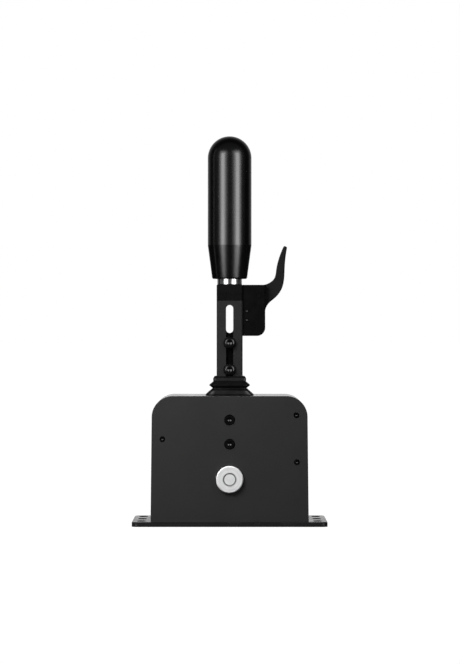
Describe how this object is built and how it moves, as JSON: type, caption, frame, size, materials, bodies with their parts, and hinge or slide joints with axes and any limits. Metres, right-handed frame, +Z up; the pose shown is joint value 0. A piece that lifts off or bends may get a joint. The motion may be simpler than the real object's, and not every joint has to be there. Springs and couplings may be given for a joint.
{
  "type": "sim racing gear shifter",
  "caption": "Sequential sim racing shifter: sprung lever with a long round knob and a finger trigger, rubber boot, closed arch housing on a slotted base plate.",
  "frame": {"origin": "middle of the base plate's underside, under the lever", "axes": "+Z up along the lever, +X to the trigger's side, +Y from the front plate to the rear plate"},
  "size_m": [0.161, 0.0772, 0.3234],
  "materials": {
    "coated_steel": "black powder coat, fine texture",
    "plate_black": "matt black anodised",
    "stem_black": "bead-blasted, black anodised",
    "head_black": "black anodised",
    "trigger_black": "black anodised, satin",
    "knob_black": "satin black anodised, turned",
    "turned_silver": "turned, bright",
    "polished_steel": "ground and polished",
    "black_screws": "black oxide",
    "zinc_screws": "zinc plated",
    "spring_steel": "spring wire",
    "boot_rubber": "matt moulded rubber",
    "machined": "machined, black anodised",
    "bent_steel": "coated",
    "slide_plastic": "acetal",
    "board_green": "solder mask",
    "spacer_plastic": "nylon",
    "brass_posts": "turned",
    "socket_shell": "plated",
    "magnet_nickel": "nickel plated",
    "switch_black": "moulded",
    "plunger_red": "moulded"
  },
  "bodies": {
    "housing": {"base_plate": "coated_steel", "base_screws": "black_screws", "front_side_plate": "plate_black", "rear_side_plate": "plate_black", "arch_cover": "coated_steel", "cover_screws": "black_screws", "lever_boot": "boot_rubber", "axle_bush_front": "turned_silver", "axle_bush_rear": "turned_silver", "guide_block_front": "slide_plastic", "guide_block_rear": "slide_plastic", "guide_screws": "black_screws", "spring_bracket_left": "bent_steel", "spring_bracket_right": "bent_steel", "spring_rod": "polished_steel", "rod_nuts": "zinc_screws", "centring_spring_left": "spring_steel", "centring_spring_right": "spring_steel", "stop_block_left": "machined", "stop_block_right": "machined", "stop_screws": "black_screws", "stop_nuts": "zinc_screws", "sensor_board": "board_green", "sensor_spacers": "spacer_plastic", "sensor_screws": "zinc_screws", "controller_board": "board_green", "board_standoffs": "brass_posts", "board_screws": "zinc_screws", "usb_socket": "socket_shell"},
    "lever": {"lever_arm": "machined", "axle": "polished_steel", "axle_spacers": "machined", "axle_set_screw": "black_screws", "stem_bolts": "black_screws", "sensor_magnet": "magnet_nickel"},
    "stem": {"stem_tube": "stem_black", "stem_head": "head_black", "knob_stud": "polished_steel", "knob_collar": "turned_silver", "shift_knob": "knob_black", "trigger_housing": "head_black", "trigger_cover": "head_black", "housing_screws": "black_screws", "switch_screws": "black_screws", "trigger_pin": "polished_steel", "trigger_spring": "spring_steel", "trigger_switch": "switch_black"},
    "trigger": {"trigger": "trigger_black"},
    "switch_blade": {"switch_blade": "spring_steel", "switch_plunger": "plunger_red"},
    "spring_cups": {"spring_cup_left": "slide_plastic", "spring_cup_right": "slide_plastic"}
  },
  "joints": [
    {"name": "lever_rock", "type": "hinge", "parent": "housing", "child": "lever", "pos_m": [0, 0, 0.03895], "axis": [0, 1, 0], "range_deg": [-6, 6], "stiffness_Nm_per_rad": 60, "deforming": ["lever_boot"]},
    {"name": "cup_slide", "type": "slide", "parent": "housing", "child": "spring_cups", "axis": [1, 0, 0], "range_m": [-0.003, 0.003], "deforming": ["centring_spring_left", "centring_spring_right"]},
    {"name": "stem_height", "type": "slide", "parent": "lever", "child": "stem", "axis": [0, 0, 1], "range_m": [-0.02, 0.005]},
    {"name": "trigger_pull", "type": "hinge", "parent": "stem", "child": "trigger", "pos_m": [0.024, 0, 0.1898], "axis": [0, -1, 0], "range_deg": [0, 8], "stiffness_Nm_per_rad": 1.5, "springref_deg": -2.86, "deforming": ["trigger_spring"]},
    {"name": "switch_press", "type": "hinge", "parent": "stem", "child": "switch_blade", "pos_m": [0.0192, 0, 0.1678], "axis": [0, 1, 0], "range_deg": [0, 8.2]}
  ],
  "couplings": [
    {"joint": "cup_slide", "follows": "lever_rock", "m_per_rad": 0.028},
    {"joint": "switch_press", "follows": "trigger_pull", "ratio": 1}
  ]
}
